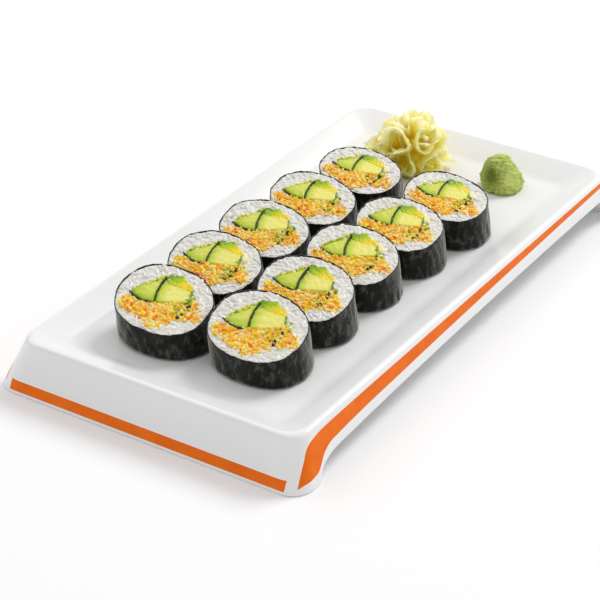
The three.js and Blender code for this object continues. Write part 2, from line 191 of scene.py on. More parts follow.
WASABI = {"x": 35.3, "y": 125.1, "lean": (-2.4, -1.5), "seed": 23}  # its top leans over by lean
WASABI_SIDES = 170
WASABI_STEP = 0.268
WASABI_PROFILE = [  # heights and radii
    (0, 10.8), (1.2, 11.9), (4.4, 12.1), (8.2, 11), (11.2, 9.4), (15, 7.4), (18, 5), (19.7, 2),
]
WASABI_HOLLOW = {"heading": -104, "half_angle": 55, "z": 9.3, "half_height": 8.5, "depth": 3.0}
WASABI_FACE = {"heading": -24, "half_angle": 50, "z": 8.3, "half_height": 8.5, "depth": 1.6}

# ---- Camera, light and floor, in metres ----

CAMERA_PLACE = (0.5420, -0.8676, 0.5969)
CAMERA_HEADING = math.radians(32.97)  # anticlockwise from +Y
CAMERA_DIP = math.radians(30.51)
CAMERA_LENS = 131.66
LIGHT_TARGET = (0, 0, 0.03)
LIGHTS = {
    "key": {"place": (0.6, 2.5, 2.5), "size": 1.5, "power": 68},
    "fill": {"place": (-2.0, 0.4, 2.2), "size": 2.0, "power": 11},
}
WORLD_STRENGTH = 0.63
FLOOR_REACH = 5.0


def add_object(name, data):
    made = bpy.data.objects.new(name, data)
    bpy.context.scene.collection.objects.link(made)
    return made


def make_camera():
    camera = add_object("camera", bpy.data.cameras.new("camera"))
    camera.data.lens = CAMERA_LENS
    camera.location = CAMERA_PLACE
    camera.rotation_euler = (math.pi / 2 - CAMERA_DIP, 0, CAMERA_HEADING)
    bpy.context.scene.camera = camera


def make_light():
    world = bpy.data.worlds.new("studio")
    world.use_nodes = True
    background = world.node_tree.nodes["Background"]
    background.inputs["Color"].default_value = (1, 1, 1, 1)
    background.inputs["Strength"].default_value = WORLD_STRENGTH
    bpy.context.scene.world = world
    for name, lamp in LIGHTS.items():
        light = add_object(name, bpy.data.lights.new(name, "AREA"))
        light.data.shape = "DISK"
        light.data.size = lamp["size"]
        light.data.energy = lamp["power"]
        light.location = lamp["place"]
        light.rotation_mode = "QUATERNION"
        light.rotation_quaternion = (Vector(LIGHT_TARGET) - Vector(lamp["place"])).to_track_quat("-Z", "Y")
    bpy.context.scene.view_settings.view_transform = "Standard"


def make_floor():
    floor = bmesh.new()
    bmesh.ops.create_grid(floor, x_segments=4, y_segments=4, size=FLOOR_REACH)
    mesh = bpy.data.meshes.new("studio_floor")
    floor.to_mesh(mesh)
    floor.free()
    finish = Finish("studio_floor")
    stops = {0.0: (0.98, 0.98, 0.98), 1.0: (0.985, 0.985, 0.985)}
    finish.end(finish.ramp(finish.noise(400, 1), stops), 0.9)
    mesh.materials.append(bpy.data.materials["studio_floor"])
    add_object("studio_floor", mesh)


# ---- Finishes ----


def srgb(red, green, blue):
    """A colour as the eye sees it, from 0 to 1, in the linear numbers that shaders take."""
    return (*(((c + 0.055) / 1.055) ** 2.4 if c > 0.04045 else c / 12.92 for c in (red, green, blue)), 1.0)


class Finish:
    """A node material round a Principled shader, with short calls that add nodes to it."""

    def __init__(self, name, **values):
        material = bpy.data.materials.new(name)
        material.use_nodes = True
        self.tree = material.node_tree
        self.shader = self.tree.nodes["Principled BSDF"]
        for socket, value in values.items():
            self.shader.inputs[socket.replace("_", " ")].default_value = value

    def feed(self, socket, value):
        if isinstance(value, bpy.types.NodeSocket):
            self.tree.links.new(value, socket)
        else:
            socket.default_value = value

    def node(self, kind, output, links, **settings):
        """One output of a new node, which has these settings and these outputs or values at its inputs."""
        node = self.tree.nodes.new(kind)
        for setting, value in settings.items():
            setattr(node, setting, value)
        for socket, value in links.items():
            self.feed(node.inputs[socket], value)
        return node.outputs[output]

    def noise(self, size, detail=3.0, roughness=0.55, stretch=(1, 1, 1)):
        """Noise from 0 to 1 whose lumps are about size millimetres across before they are stretched."""
        where = self.node("ShaderNodeTexCoord", "Object", {})
        where = self.node("ShaderNodeVectorMath", 0, {0: where, 1: stretch}, operation="MULTIPLY")
        links = {"Vector": where, "Scale": 1 / (size * MM), "Detail": detail, "Roughness": roughness}
        return self.node("ShaderNodeTexNoise", "Fac", links)

    def tint(self):
        """The tint from 0 to 1 that the mesh holds at each point."""
        return self.node("ShaderNodeAttribute", "Fac", {}, attribute_name="tint")

    def math(self, operation, first, second):
        return self.node("ShaderNodeMath", 0, {0: first, 1: second}, operation=operation)

    def spread(self, value, low, high):
        """A value from 0 to 1 moved to the range from low to high."""
        return self.node("ShaderNodeMapRange", 0, {"Value": value, "To Min": low, "To Max": high})

    def ramp(self, value, stops):
        """Colours read off a row of stops, where each position has its colour as the eye sees it."""
        output = self.node("ShaderNodeValToRGB", "Color", {"Fac": value})
        elements = output.node.color_ramp.elements
        while len(elements) < len(stops):
            elements.new(0.5)
        for element, (position, colour) in zip(elements, stops.items()):
            element.position = position
            element.color = srgb(*colour)
        return output

    def end(self, colour, roughness, relief=None, depth=0.0):
        """Gives the surface its colour, its roughness, and relief that is depth millimetres deep."""
        self.feed(self.shader.inputs["Base Color"], colour)
        self.feed(self.shader.inputs["Roughness"], roughness)
        if relief:
            links = {"Height": relief, "Distance": depth * MM, "Strength": 1.0}
            self.feed(self.shader.inputs["Normal"], self.node("ShaderNodeBump", "Normal", links))


def grained_finish(name, grain, stops, gloss, relief, swing=0, gloss_grain=(), relief_grain=(), **values):
    """Makes a material whose colour, gloss and relief follow one noise, or noise of their own.

    A grain is a noise's size, detail and roughness, gloss the range of the surface's roughness, and relief
    its depth in millimetres. With swing, the colour follows the mesh's tint, give or take swing.
    """
    finish = Finish(name, **values)
    noise = finish.noise(*grain)
    tone = finish.math("ADD", finish.tint(), finish.spread(noise, -swing, swing)) if swing else noise
    shine = finish.spread(finish.noise(*gloss_grain) if gloss_grain else noise, *gloss)
    bumps = finish.noise(*relief_grain) if relief_grain else noise
    finish.end(finish.ramp(tone, stops), shine, bumps if relief else None, relief)


def nori_finish():
    """Dark seaweed with lighter patches and fibres, and a soft sheen."""
    finish = Finish("nori", IOR=1.45, Specular_IOR_Level=0.2, Sheen_Weight=0.9, Sheen_Roughness=0.35,
                    Sheen_Tint=(1.0, 1.0, 0.92, 1.0))
    stretch = (1, 1, 0.6)
    patches = finish.noise(3.4, 5, 0.62, stretch)
    fibre = finish.noise(0.7, 3, 0.6, stretch)
    blend = finish.math("MULTIPLY", patches, finish.spread(fibre, 0.8, 1.25))
    stops = {0.35: (0.015, 0.02, 0.012), 0.52: (0.055, 0.06, 0.045), 0.7: (0.3, 0.305, 0.27)}
    relief = finish.math("ADD", patches, fibre)
    finish.end(finish.ramp(blend, stops), finish.spread(patches, 0.6, 0.4), relief, 0.25)


def rice_finish():
    """Cooked rice: each grain has its own white, with a faint cream shade over it."""
    finish = Finish("sushi_rice", IOR=1.35)
    stops = {0.0: (0.78, 0.77, 0.73), 0.4: (0.89, 0.88, 0.85), 1.0: (0.98, 0.975, 0.96)}
    share = finish.spread(finish.noise(1.6), 0.0, 0.3)
    links = {"Factor": share, 6: finish.ramp(finish.tint(), stops), 7: srgb(0.84, 0.83, 0.77)}
    colour = finish.node("ShaderNodeMix", 2, links, data_type="RGBA")
    finish.end(colour, finish.spread(finish.noise(1.2), 0.35, 0.55), finish.noise(0.7, 2), 0.05)


def make_finishes():
    """Makes every material of the set. Pieces take them by name."""
    glaze = {"relief": 0.05, "gloss_grain": (14, 3), "relief_grain": (22, 1), "IOR": 1.45}
    grained_finish(
        "glazed_porcelain", (70, 2), {0.3: (0.945, 0.945, 0.942), 0.7: (0.955, 0.955, 0.955)},
        gloss=(0.16, 0.26), **glaze)
    grained_finish(
        "orange_enamel", (9, 3), {0.3: (0.93, 0.42, 0.06), 0.7: (0.97, 0.47, 0.09)},
        gloss=(0.3, 0.4), Specular_IOR_Level=0.15, **glaze)
    nori_finish()
    rice_finish()
    grained_finish(
        "grated_carrot", (1.1,),
        # The pale cream stop at 0.78 is a painted highlight on some crumbs.
        {0.0: (0.97, 0.42, 0.08), 0.16: (1, 0.66, 0.08), 0.5: (1, 0.77, 0.13), 0.78: (1, 0.91, 0.52),
         0.84: (1, 0.88, 0.16), 1.0: (1, 0.92, 0.25)},
        gloss=(0.28, 0.5), relief=0.08, swing=0.12, gloss_grain=(1,), relief_grain=(0.5, 2), IOR=1.35)
    grained_finish(
        "cucumber_flesh", (1.3, 4, 0.6),
        {0.0: (0.48, 0.6, 0.08), 0.18: (0.62, 0.73, 0.14), 0.5: (0.8, 0.84, 0.3),
         1.0: (0.95, 0.92, 0.5)},
        gloss=(0.22, 0.4), relief=0.08, swing=0.14, relief_grain=(0.8, 3), IOR=1.35,
        Subsurface_Weight=0.2, Subsurface_Scale=0.002, Subsurface_Radius=(0.8, 1.0, 0.4))
    grained_finish(
        "cucumber_skin", (0.9, 3), {0.35: (0.08, 0.13, 0.05), 0.7: (0.2, 0.3, 0.08)},
        gloss=(0.3, 0.5), relief=0.1, IOR=1.4)
    grained_finish(
        "lettuce", (1.2, 4, 0.65),
        {0.0: (0.36, 0.52, 0.06), 0.35: (0.56, 0.7, 0.08), 0.65: (0.76, 0.82, 0.1),
         1.0: (0.98, 0.86, 0.16)},
        gloss=(0.3, 0.5), relief=0.12, swing=0.2, IOR=1.36)
    grained_finish(
        "black_sesame", (0.6, 2), {0.3: (0.07, 0.08, 0.1), 0.7: (0.16, 0.17, 0.2)},
        gloss=(0.35, 0.55), relief=0, IOR=1.45)
    grained_finish(
        "egg", (1, 3), {0.3: (0.95, 0.9, 0.62), 0.7: (0.98, 0.95, 0.78)},
        gloss=(0.4, 0.6), relief=0.1, IOR=1.4, Subsurface_Weight=0.15, Subsurface_Scale=0.001)
    # The deep gold at a low tint is painted shade of the ginger heap's hollows.
    grained_finish(
        "pickled_ginger", (2.5, 4, 0.6),
        {0.0: (1, 0.83, 0.1), 0.35: (1, 0.89, 0.22), 0.65: (1, 0.925, 0.36), 1.0: (1, 0.94, 0.48)},
        gloss=(0.2, 0.38), relief=0.08, swing=0.12, relief_grain=(1.1, 3), IOR=1.38,
        Subsurface_Weight=1.0, Subsurface_Scale=0.018, Subsurface_Radius=(1.0, 0.95, 0.75))
    grained_finish(
        "wasabi_paste", (0.8, 4, 0.7),
        {0.0: (0.42, 0.5, 0.15), 0.45: (0.66, 0.73, 0.34), 1.0: (0.85, 0.88, 0.5)},
        gloss=(0.55, 0.75), relief=0.25, swing=0.25, IOR=1.4,
        Subsurface_Weight=0.1, Subsurface_Scale=0.001)


# ---- Meshes ----


class Shapes:
    """Closed shapes gathered into one mesh: points, triangles, and a tint and finish for each."""

    def __init__(self):
        self.points, self.triangles, self.tints, self.finishes = [], [], [], []
        self.count = 0

    def add(self, points, triangles, tint=0.5, finish=0):
        self.points.append(points)
        self.triangles.append(triangles + self.count)
        self.tints.append(np.broadcast_to(np.float64(tint), len(points)))
        self.finishes.append(np.full(len(triangles), finish))
        self.count += len(points)

    def piece(self, name, finishes, move=None):
        """The gathered mesh as an object with the finishes named, and with its points moved."""
        points = np.concatenate(self.points)
        if move:
            points = move(points)
        mesh = bpy.data.meshes.new(name)
        mesh.from_pydata(points * MM, [], np.concatenate(self.triangles))
        mesh.polygons.foreach_set("material_index", np.concatenate(self.finishes).astype(np.int32))
        mesh.shade_smooth()
        set_tint(mesh, np.concatenate(self.tints))
        for finish in finishes:
            mesh.materials.append(bpy.data.materials[finish])
        return add_object(name, mesh)


def set_tint(mesh, tint):
    mesh.attributes.new("tint", "FLOAT", "POINT").data.foreach_set("value", tint.astype(np.float32))


def dress(piece, node):
    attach(piece, "root")
    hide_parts(node)


def waves(points, length, seed, count=10):
    """Smooth noise, mostly from -1 to 1: a sum of sine waves about length long, in seeded directions."""
    rng = np.random.default_rng(seed)
    heading = rng.normal(size=(points.shape[1], count))
    heading /= np.linalg.norm(heading, axis=0)
    stretch = rng.uniform(0.6, 1.5, count) * TAU / length
    return np.sin(points @ (heading * stretch) + rng.uniform(0, TAU, count)).sum(axis=1) / math.sqrt(count)


def circle(sides):
    """The angles of points round a circle."""
    return np.linspace(0, TAU, sides, endpoint=False)


def loft_triangles(levels, sides, closed=False):
    """Triangles that join rings of points; closed joins the last ring to the first."""
    rings = np.arange(levels * sides).reshape(levels, sides)
    if closed:
        rings = np.concatenate([rings, rings[:1]])
    low, high = rings[:-1], rings[1:]
    low_next, high_next = np.roll(low, -1, axis=1), np.roll(high, -1, axis=1)
    first = np.stack([low, low_next, high_next], axis=-1).reshape(-1, 3)
    second = np.stack([low, high_next, high], axis=-1).reshape(-1, 3)
    return np.concatenate([first, second])


def capped_loft(rings):
    """A closed skin through rings that run anticlockwise, from the bottom cap up to the top cap."""
    levels, sides = len(rings), len(rings[0])
    points = np.concatenate([*rings, [np.mean(rings[0], axis=0), np.mean(rings[-1], axis=0)]])
    side = np.arange(sides)
    following = (side + 1) % sides
    bottom = np.stack([np.full(sides, levels * sides), following, side], axis=1)
    top_ring = (levels - 1) * sides
    top = np.stack([np.full(sides, levels * sides + 1), top_ring + side, top_ring + following], axis=1)
    return points, np.concatenate([loft_triangles(levels, sides), bottom, top])


def unit_ball():
    ball = bmesh.new()
    bmesh.ops.create_icosphere(ball, subdivisions=2, radius=1)
    points = np.array([vertex.co for vertex in ball.verts])
    triangles = np.array([[vertex.index for vertex in face.verts] for face in ball.faces])
    ball.free()
    return points, triangles


def turned(points, heading, tilt, roll):
    """Points rolled about X, tilted about Y and then turned about Z."""
    (cr, sr), (ct, st), (ch, sh) = [(math.cos(turn), math.sin(turn)) for turn in (roll, tilt, heading)]
    about_x = np.array([[1, 0, 0], [0, cr, -sr], [0, sr, cr]])
    about_y = np.array([[ct, 0, st], [0, 1, 0], [-st, 0, ct]])
    about_z = np.array([[ch, -sh, 0], [sh, ch, 0], [0, 0, 1]])
    return points @ (about_z @ about_y @ about_x).T


def corners_cut(outline, rounds=2, share=0.15):
    """A closed outline with a share of each side cut off at its corners, again and again."""
    points = np.array(outline, float)
    for _ in range(rounds):
        following = np.roll(points, -1, axis=0)
        near, far = (1 - share) * points + share * following, share * points + (1 - share) * following
        points = np.stack([near, far], axis=1).reshape(-1, 2)
    return points


def curve_points(path, steps=6):
    """A path through its points, rounded by a Catmull-Rom curve."""
    path = np.array(path, float)
    ends = np.concatenate([[2 * path[0] - path[1]], path, [2 * path[-1] - path[-2]]])
    made = []
    for i in range(1, len(ends) - 2):
        before, start, end, after = ends[i - 1:i + 3]
        square = 2 * before - 5 * start + 4 * end - after
        cube = 3 * start - before - 3 * end + after
        for t in np.arange(steps) / steps:
            made.append(tuple(0.5 * (2 * start + (end - before) * t + square * t ** 2 + cube * t ** 3)))
    made.append(tuple(path[-1]))
    return made


def along_path(path, spacing, closed=False):
    """Points set out evenly along a path."""
    path = np.array(path, float)
    if closed:
        path = np.concatenate([path, path[:1]])
    steps = np.linalg.norm(np.diff(path, axis=0), axis=1)
    reach = np.concatenate([[0], np.cumsum(steps)])
    count = max(3, int(round(reach[-1] / spacing)))
    stations = np.linspace(0, reach[-1], count + 1)
    stations = stations[:-1] if closed else stations
    return np.stack([np.interp(stations, reach, path[:, axis]) for axis in (0, 1)], axis=1)


def is_inside(points, outline):
    """For each point, whether it lies inside a closed outline."""
    x, y = points[:, 0, None], points[:, 1, None]
    x1, y1 = np.array(outline, float).T
    x2, y2 = np.roll(x1, -1), np.roll(y1, -1)
    rise = np.where(y2 == y1, 1e-9, y2 - y1)
    crosses = ((y1 > y) != (y2 > y)) & (x < (x2 - x1) * (y - y1) / rise + x1)
    return crosses.sum(axis=1) % 2 == 1


def distance_to(points, path):
    """How far each point is from the nearest of a path's points."""
    return np.linalg.norm(points[:, None, :2] - path[None, :, :2], axis=2).min(axis=1)


def slab(outline, spacing, bottom, top):
    """A closed slab inside an outline that runs clockwise.

    Its top is a function of each point and its distance to the edge.
    """
    edge = along_path(outline, spacing, closed=True)
    (low_x, low_y), (high_x, high_y) = edge.min(axis=0), edge.max(axis=0)
    columns, rows = np.arange(low_x, high_x, spacing), np.arange(low_y, high_y, spacing)
    grid = np.stack(np.meshgrid(columns, rows), axis=-1)
    grid[1::2, :, 0] += spacing / 2
    grid = grid.reshape(-1, 2)
    dense_edge = along_path(outline, spacing / 4, closed=True)
    inner = grid[is_inside(grid, edge) & (distance_to(grid, dense_edge) > 0.55 * spacing)]
    rim = np.arange(len(edge))
    made = delaunay_2d_cdt([Vector(p) for p in np.concatenate([edge, inner])], [], [rim.tolist()], 1, 1e-5)
    flat, triangles = np.array(made[0]), np.array(made[2])
    depth = distance_to(flat, dense_edge)
    depth[rim] = 0
    upper = np.column_stack([flat, top(flat, depth)])
    lower = np.column_stack([flat, np.full(len(flat), bottom)])
    following = np.roll(rim, 1)
    wall = np.concatenate([
        np.stack([rim + len(flat), following + len(flat), following], axis=1),
        np.stack([rim + len(flat), following, rim], axis=1),
    ])
    skin = np.concatenate([triangles, triangles[:, ::-1] + len(flat), wall])
    return np.concatenate([upper, lower]), skin, np.concatenate([depth, depth])


def edge_drop(depth, drop, run):
    """How far a slab's top falls off near its edge: by drop at the edge itself, less and less over run."""
    return drop * np.clip(1 - depth / run, 0, 1) ** 2


def is_clear(points, areas):
    """For each point, whether it lies outside all of the areas."""
    return ~np.any([is_inside(points, area) for area in areas], axis=0)


def box_round(points, margin=0.0):
    """The range of x and the range of y that the points span, widened by margin on each side."""
    return tuple(zip(points.min(axis=0) - margin, points.max(axis=0) + margin))


def spots(rng, box, spacing, tries, allowed):
    """Seeded places in a box, at least spacing apart, where the function allowed says yes."""
    tried = np.column_stack([rng.uniform(low, high, tries) for low, high in box])
    kept = np.empty((0, 2))
    for spot in tried[allowed(tried)]:
        if len(kept) == 0 or np.min(np.sum((kept - spot) ** 2, axis=1)) > spacing ** 2:
            kept = np.vstack([kept, spot])
    return kept


# ---- Plate ----


def plate_ring(inset, z):
    """One ring of the plate's skin with round corners; inset is measured in from the ridge's outer edge."""
    wall_top = PLATE_HEIGHT - PLATE_RIDGE_RADIUS
    flare = max(0, 1 - z / wall_top) if inset < PLATE_RIDGE_RADIUS else 0
    half_x = PLATE_RIM[0] / 2 + PLATE_FLARE[0] * flare - inset
    half_y = PLATE_RIM[1] / 2 + PLATE_FLARE[1] * flare - inset
    inward = min(1, inset / PLATE_RIM_RUN)
    radius = PLATE_CORNER_RADIUS + (PLATE_INNER_CORNER_RADIUS - PLATE_CORNER_RADIUS) * inward
    ring = []
    for corner, (sign_x, sign_y) in enumerate([(1, 1), (-1, 1), (-1, -1), (1, -1)]):
        for step in range(PLATE_CORNER_STEPS + 1):
            angle = (corner + step / PLATE_CORNER_STEPS) * math.pi / 2
            x = sign_x * (half_x - radius) + radius * math.cos(angle)
            y = sign_y * (half_y - radius) + radius * math.sin(angle)
            ring.append((x, y, z))
    return np.array(ring)


def plate_rings():
    """The plate's skin, ring by ring: from the foot up the wall, over the ridge and down to the floor."""
    bevel, ridge, fillet = PLATE_FOOT_BEVEL, PLATE_RIDGE_RADIUS, PLATE_FLOOR_FILLET
    bevel_rings, ridge_rings, fillet_rings = PLATE_RINGS
    profile = [(bevel * (1 - math.sin(turn)), bevel * (1 - math.cos(turn)))
               for turn in np.linspace(0, math.pi / 2, bevel_rings)]
    profile += [(ridge * (1 - math.cos(turn)), PLATE_HEIGHT - ridge * (1 - math.sin(turn)))
                for turn in np.linspace(0, PLATE_RIDGE_TURN, ridge_rings)]
    inset, z = profile[-1]
    slope = (z - FLOOR_Z) / (PLATE_RIM_RUN - inset)
    profile += [(PLATE_RIM_RUN + fillet * (2 * t - 1), FLOOR_Z + slope * fillet * (1 - t) ** 2)
                for t in np.linspace(0, 1, fillet_rings)]
    return [plate_ring(inset, z) for inset, z in profile]


def prism(outline, axis, low, high):
    """A closed bar drawn out along axis 0 or 1, with an outline of (along, up) points, anticlockwise."""
    outline = np.array(outline, float)[::-1 if axis == 1 else 1]
    ends = [np.insert(outline, axis, reach, axis=1) * MM for reach in (low, high)]
    count = len(outline)
    caps = [list(range(count))[::-1], list(range(count, 2 * count))]
    walls = [(i, (i + 1) % count, (i + 1) % count + count, i + count) for i in range(count)]
    mesh = bpy.data.meshes.new("bar")
    mesh.from_pydata(np.concatenate(ends), [], [*caps, *walls])
    return add_object("bar", mesh)


def apply_modifiers(piece):
    """Turns what a piece's modifiers make into its own mesh."""
    evaluated = piece.evaluated_get(bpy.context.evaluated_depsgraph_get())
    mesh = bpy.data.meshes.new_from_object(evaluated)
    piece.modifiers.clear()
    piece.data = mesh


def cut(piece, cutter, operation):
    modifier = piece.modifiers.new("cut", "BOOLEAN")
    modifier.operation = operation
    modifier.solver = "EXACT"
    modifier.object = cutter
    apply_modifiers(piece)


def bowed(start, pull, end, steps=14):
    """Points on the curve from start to end that is pulled towards a third point."""
    start, pull, end = np.array([start, pull, end], float)
    t = np.linspace(0, 1, steps + 1)[:, None]
    return ((1 - t) ** 2 * start + 2 * t * (1 - t) * pull + t ** 2 * end).tolist()


def arch_outline():
    """The gap under the plate as (along Y, up) points.

    It sweeps up from the front foot, runs nearly level and is steep at the back foot.
    """
    end_y = PLATE_RIM[1] / 2 + PLATE_FLARE[1]
    lean = PLATE_FLARE[1] / PLATE_HEIGHT
    front_foot = -end_y + PLATE_LEG_WIDTH
    front_turn = front_foot + lean * PLATE_ARCH_SPRING
    front_spring = (front_turn + PLATE_ARCH_RUN, PLATE_ARCH_SPRING)
    back_foot = end_y - PLATE_BACK_LEG_WIDTH
    back_turn = back_foot - lean * PLATE_ARCH_CROWN
    back_spring = (back_turn - PLATE_BACK_ARCH_RUN, PLATE_ARCH_CROWN)
    below = -1
    return [
        (front_foot - lean, below),
        (back_foot + lean, below),
        *bowed((back_foot, 0), (back_turn, PLATE_ARCH_CROWN), back_spring),
        *bowed(back_spring, (PLATE_ARCH_BEND, PLATE_ARCH_CROWN), front_spring)[1:],
        *bowed(front_spring, (front_turn, PLATE_ARCH_SPRING), (front_foot, 0))[1:],
    ]


def inlay(plate, name, bar):
    """Cuts the bar's share out of the plate and gives it back as a flush piece of its own."""
    stripe = add_object(name, plate.data.copy())
    cut(stripe, bar, "INTERSECT")
    cut(plate, bar, "DIFFERENCE")
    bpy.data.objects.remove(bar)
    stripe.data.materials.clear()
    stripe.data.materials.append(bpy.data.materials["orange_enamel"])
    return stripe


def make_plate():
    shapes = Shapes()
    shapes.add(*capped_loft(plate_rings()))
    plate = shapes.piece("plate_body", ["glazed_porcelain"])
    arch = prism(arch_outline(), 0, -PLATE_RIM[0], PLATE_RIM[0])
    cut(plate, arch, "DIFFERENCE")
    bpy.data.objects.remove(arch)
    bevel = plate.modifiers.new("soft_edges", "BEVEL")
    bevel.width = PLATE_EDGE_SOFTNESS * MM
    bevel.segments = 3
    bevel.limit_method = "ANGLE"
    bevel.angle_limit = PLATE_SOFT_ANGLE
    apply_modifiers(plate)

    side_outline = curve_points(STRIPE_LOWER) + curve_points(STRIPE_UPPER)[::-1]
    side_in = PLATE_RIM[0] / 2 - STRIPE_DEPTH
    side_out = PLATE_RIM[0] / 2 + 2 * PLATE_FLARE[0]
    low, high = END_STRIPE_HEIGHTS
    reach = END_STRIPE_HALF_LENGTH
    end_outline = [(-reach, low), (reach, low), (reach, high), (-reach, high)]
    end = PLATE_RIM[1] / 2 + PLATE_FLARE[1]
    end_in, end_out = end - END_STRIPE_DEPTH, end + CUTTER_OVERSHOOT
    pieces = [plate]
    for name, outline, axis, near, far in [
        ("stripe_right", side_outline, 0, side_in, side_out),
        ("stripe_left", side_outline, 0, -side_out, -side_in),
        ("stripe_front", end_outline, 1, -end_out, -end_in),
        ("stripe_back", end_outline, 1, end_in, end_out),
    ]:
        pieces.append(inlay(plate, name, prism(outline, axis, near, far)))
    for piece in pieces:
        piece.data.shade_smooth()
        piece.data.set_sharp_from_angle(angle=PLATE_SHARP_ANGLE)
        dress(piece, "plate")


# ---- Roll slices ----


def random_source(seed):
    """The part's own row of seeded numbers from 0 to 1."""
    state = seed
    while True:
        state = (state * 1664525 + 1013904223) % 4294967296
        yield state / 4294967296


def between(source, low, high):
    return low + (high - low) * next(source)


class Roll:
    """One slice: how it is cut, and where it lies."""

    def __init__(self, row, number):
        place = ROWS[row]
        share = (number - 1) / (ROLLS_PER_ROW - 1)
        source = random_source(place["seed"] + number)
        self.label = f"{row}_{number}"
        self.seed = 100 * place["seed"] + number
        self.wobble = between(source, 0, TAU)
        self.height = ROLL_HEIGHT + between(source, -1, 1) * ROLL_HEIGHT_SPREAD
        self.size = 1 - ROW_TAPER * share
        self.slope = [front + (back - front) * share + between(source, -1, 1) * ROLL_SLOPE_SPREAD
                      for front, back in zip(ROLL_FRONT_SLOPE, ROLL_BACK_SLOPE)]
        self.turn = FILLING_TURN + between(source, -1, 1) * FILLING_TURN_SPREAD
        self.rice_z = self.height - RICE_DROP
        pitch = ROLL_HALF_Y * (1 + self.size) + place["gap"]
        x = place["x"] + place["drift"] * share + place["bend"] * share ** 2
        self.origin = np.array([x, place["y"] + (number - 1) * pitch, FLOOR_Z + TOUCH_GAP])

    def outline(self, angle, spread):
        """Points of the slice's outline, spread in X."""
        power = 2 / ROLL_SQUARENESS
        cos, sin = np.cos(angle), np.sin(angle)
        slow, quick = np.sin(2 * angle + self.wobble), np.sin(5 * angle + 2 * self.wobble)
        dent = 0.006 * (1 + slow) + 0.004 * (1 + quick)
        x = (ROLL_HALF_X + spread) * np.sign(cos) * np.abs(cos) ** power * (1 - dent)
        y = ROLL_HALF_Y * np.sign(sin) * np.abs(sin) ** power * (1 - dent)
        return x, y

    def wrapped(self, angle, z, inset):
        """Points at one height of the creased wrap, inset from its outer face."""
        z = np.broadcast_to(np.float64(z), len(angle))
        around = np.column_stack([np.cos(angle) * ROLL_RADIUS, np.sin(angle) * ROLL_RADIUS, z])
        slanted = around @ np.array([[1, 0, 0.35], [0, 1, 0.35], [0, 0, 0.45]])
        swell = waves(around * (1, 1, 0.6), 15, self.seed + 4)
        crease = waves(slanted, 6, self.seed + 2)
        fold = np.abs(waves(slanted, 9, self.seed + 3)) ** 0.7
        fine = waves(around * (1, 1, 0.5), 1.7, self.seed + 8)
        creased = np.maximum(0.4 + 0.2 * swell + 0.1 * crease - 0.28 * fold + 0.035 * fine, 0)
        rounding = ROLL_BOTTOM_ROUND * (1 + 0.25 * waves(around * (1, 1, 0), 20, self.seed + 7))
        under = np.clip(1 - z / rounding, 0, 1)
        tuck = ROLL_BOTTOM_INSET * (1 - np.sqrt(1 - under ** 2 * 0.98))
        edge_x, edge_y = self.outline(angle, ROLL_BASE_SPREAD * np.clip(1 - z / self.height, 0, 1))
        scale = 1 - (inset + tuck + creased) / np.hypot(edge_x, edge_y)
        return np.column_stack([edge_x * scale, edge_y * scale, z])

    def rim(self, inset):
        """The cut face's outline inside the wrap, as (x, y) points."""
        return self.wrapped(circle(RICE_SIDES), self.rice_z, inset)[:, :2]

    def filling(self, outline):
        """An outline given in the filling's u and v, in millimetres on the slice."""
        u, v = (np.array(outline) / PERCENT * FILLING_REACH).T
        cos, sin = math.cos(self.turn), math.sin(self.turn)
        return np.column_stack([u * cos - v * sin, u * sin + v * cos])

    def unturned(self, points):
        """The filling's u and v, as shares of its reach, of points on the slice."""
        cos, sin = math.cos(self.turn), math.sin(self.turn)
        x, y = points[:, 0], points[:, 1]
        return (x * cos + y * sin) / FILLING_REACH[0], (y * cos - x * sin) / FILLING_REACH[1]

    def placed(self, points):
        """Points slanted as the slice is cut, and moved to where it lies."""
        placed = points * (self.size, self.size, 1)
        placed[:, 2] *= 1 + placed[:, :2] @ self.slope / self.height
        placed[:, 0] += ROLL_LEAN * placed[:, 2]
        return placed + self.origin

    def add_layer(self, layer, shapes, *finishes):
        """The shapes of one layer as a piece that lies where the slice does."""
        piece = shapes.piece(f"{layer}_{self.label}", finishes, self.placed)
        dress(piece, f"roll_{self.label}")


def make_nori(roll):
    """The seaweed wrap: a thin, creased band with an uneven upper edge, tucked in at the bottom."""
    angle = circle(NORI_SIDES)
    round_about = np.column_stack([np.cos(angle), np.sin(angle)]) * ROLL_RADIUS
    edge = 0.12 * waves(round_about, 6, roll.seed) + 0.08 * waves(round_about, 1.8, roll.seed + 1)
    outer = [(level / (NORI_LEVELS - 1), 0.0) for level in range(NORI_LEVELS)]
    inner = [(share, NORI_THICKNESS) for share in (1.0, 0.8, 0.0)]
    rings = [roll.wrapped(angle, share * (roll.height + edge), inset) for share, inset in outer + inner]
    shapes = Shapes()
    shapes.add(np.concatenate(rings), loft_triangles(len(rings), NORI_SIDES, closed=True))
    roll.add_layer("nori", shapes, "nori")


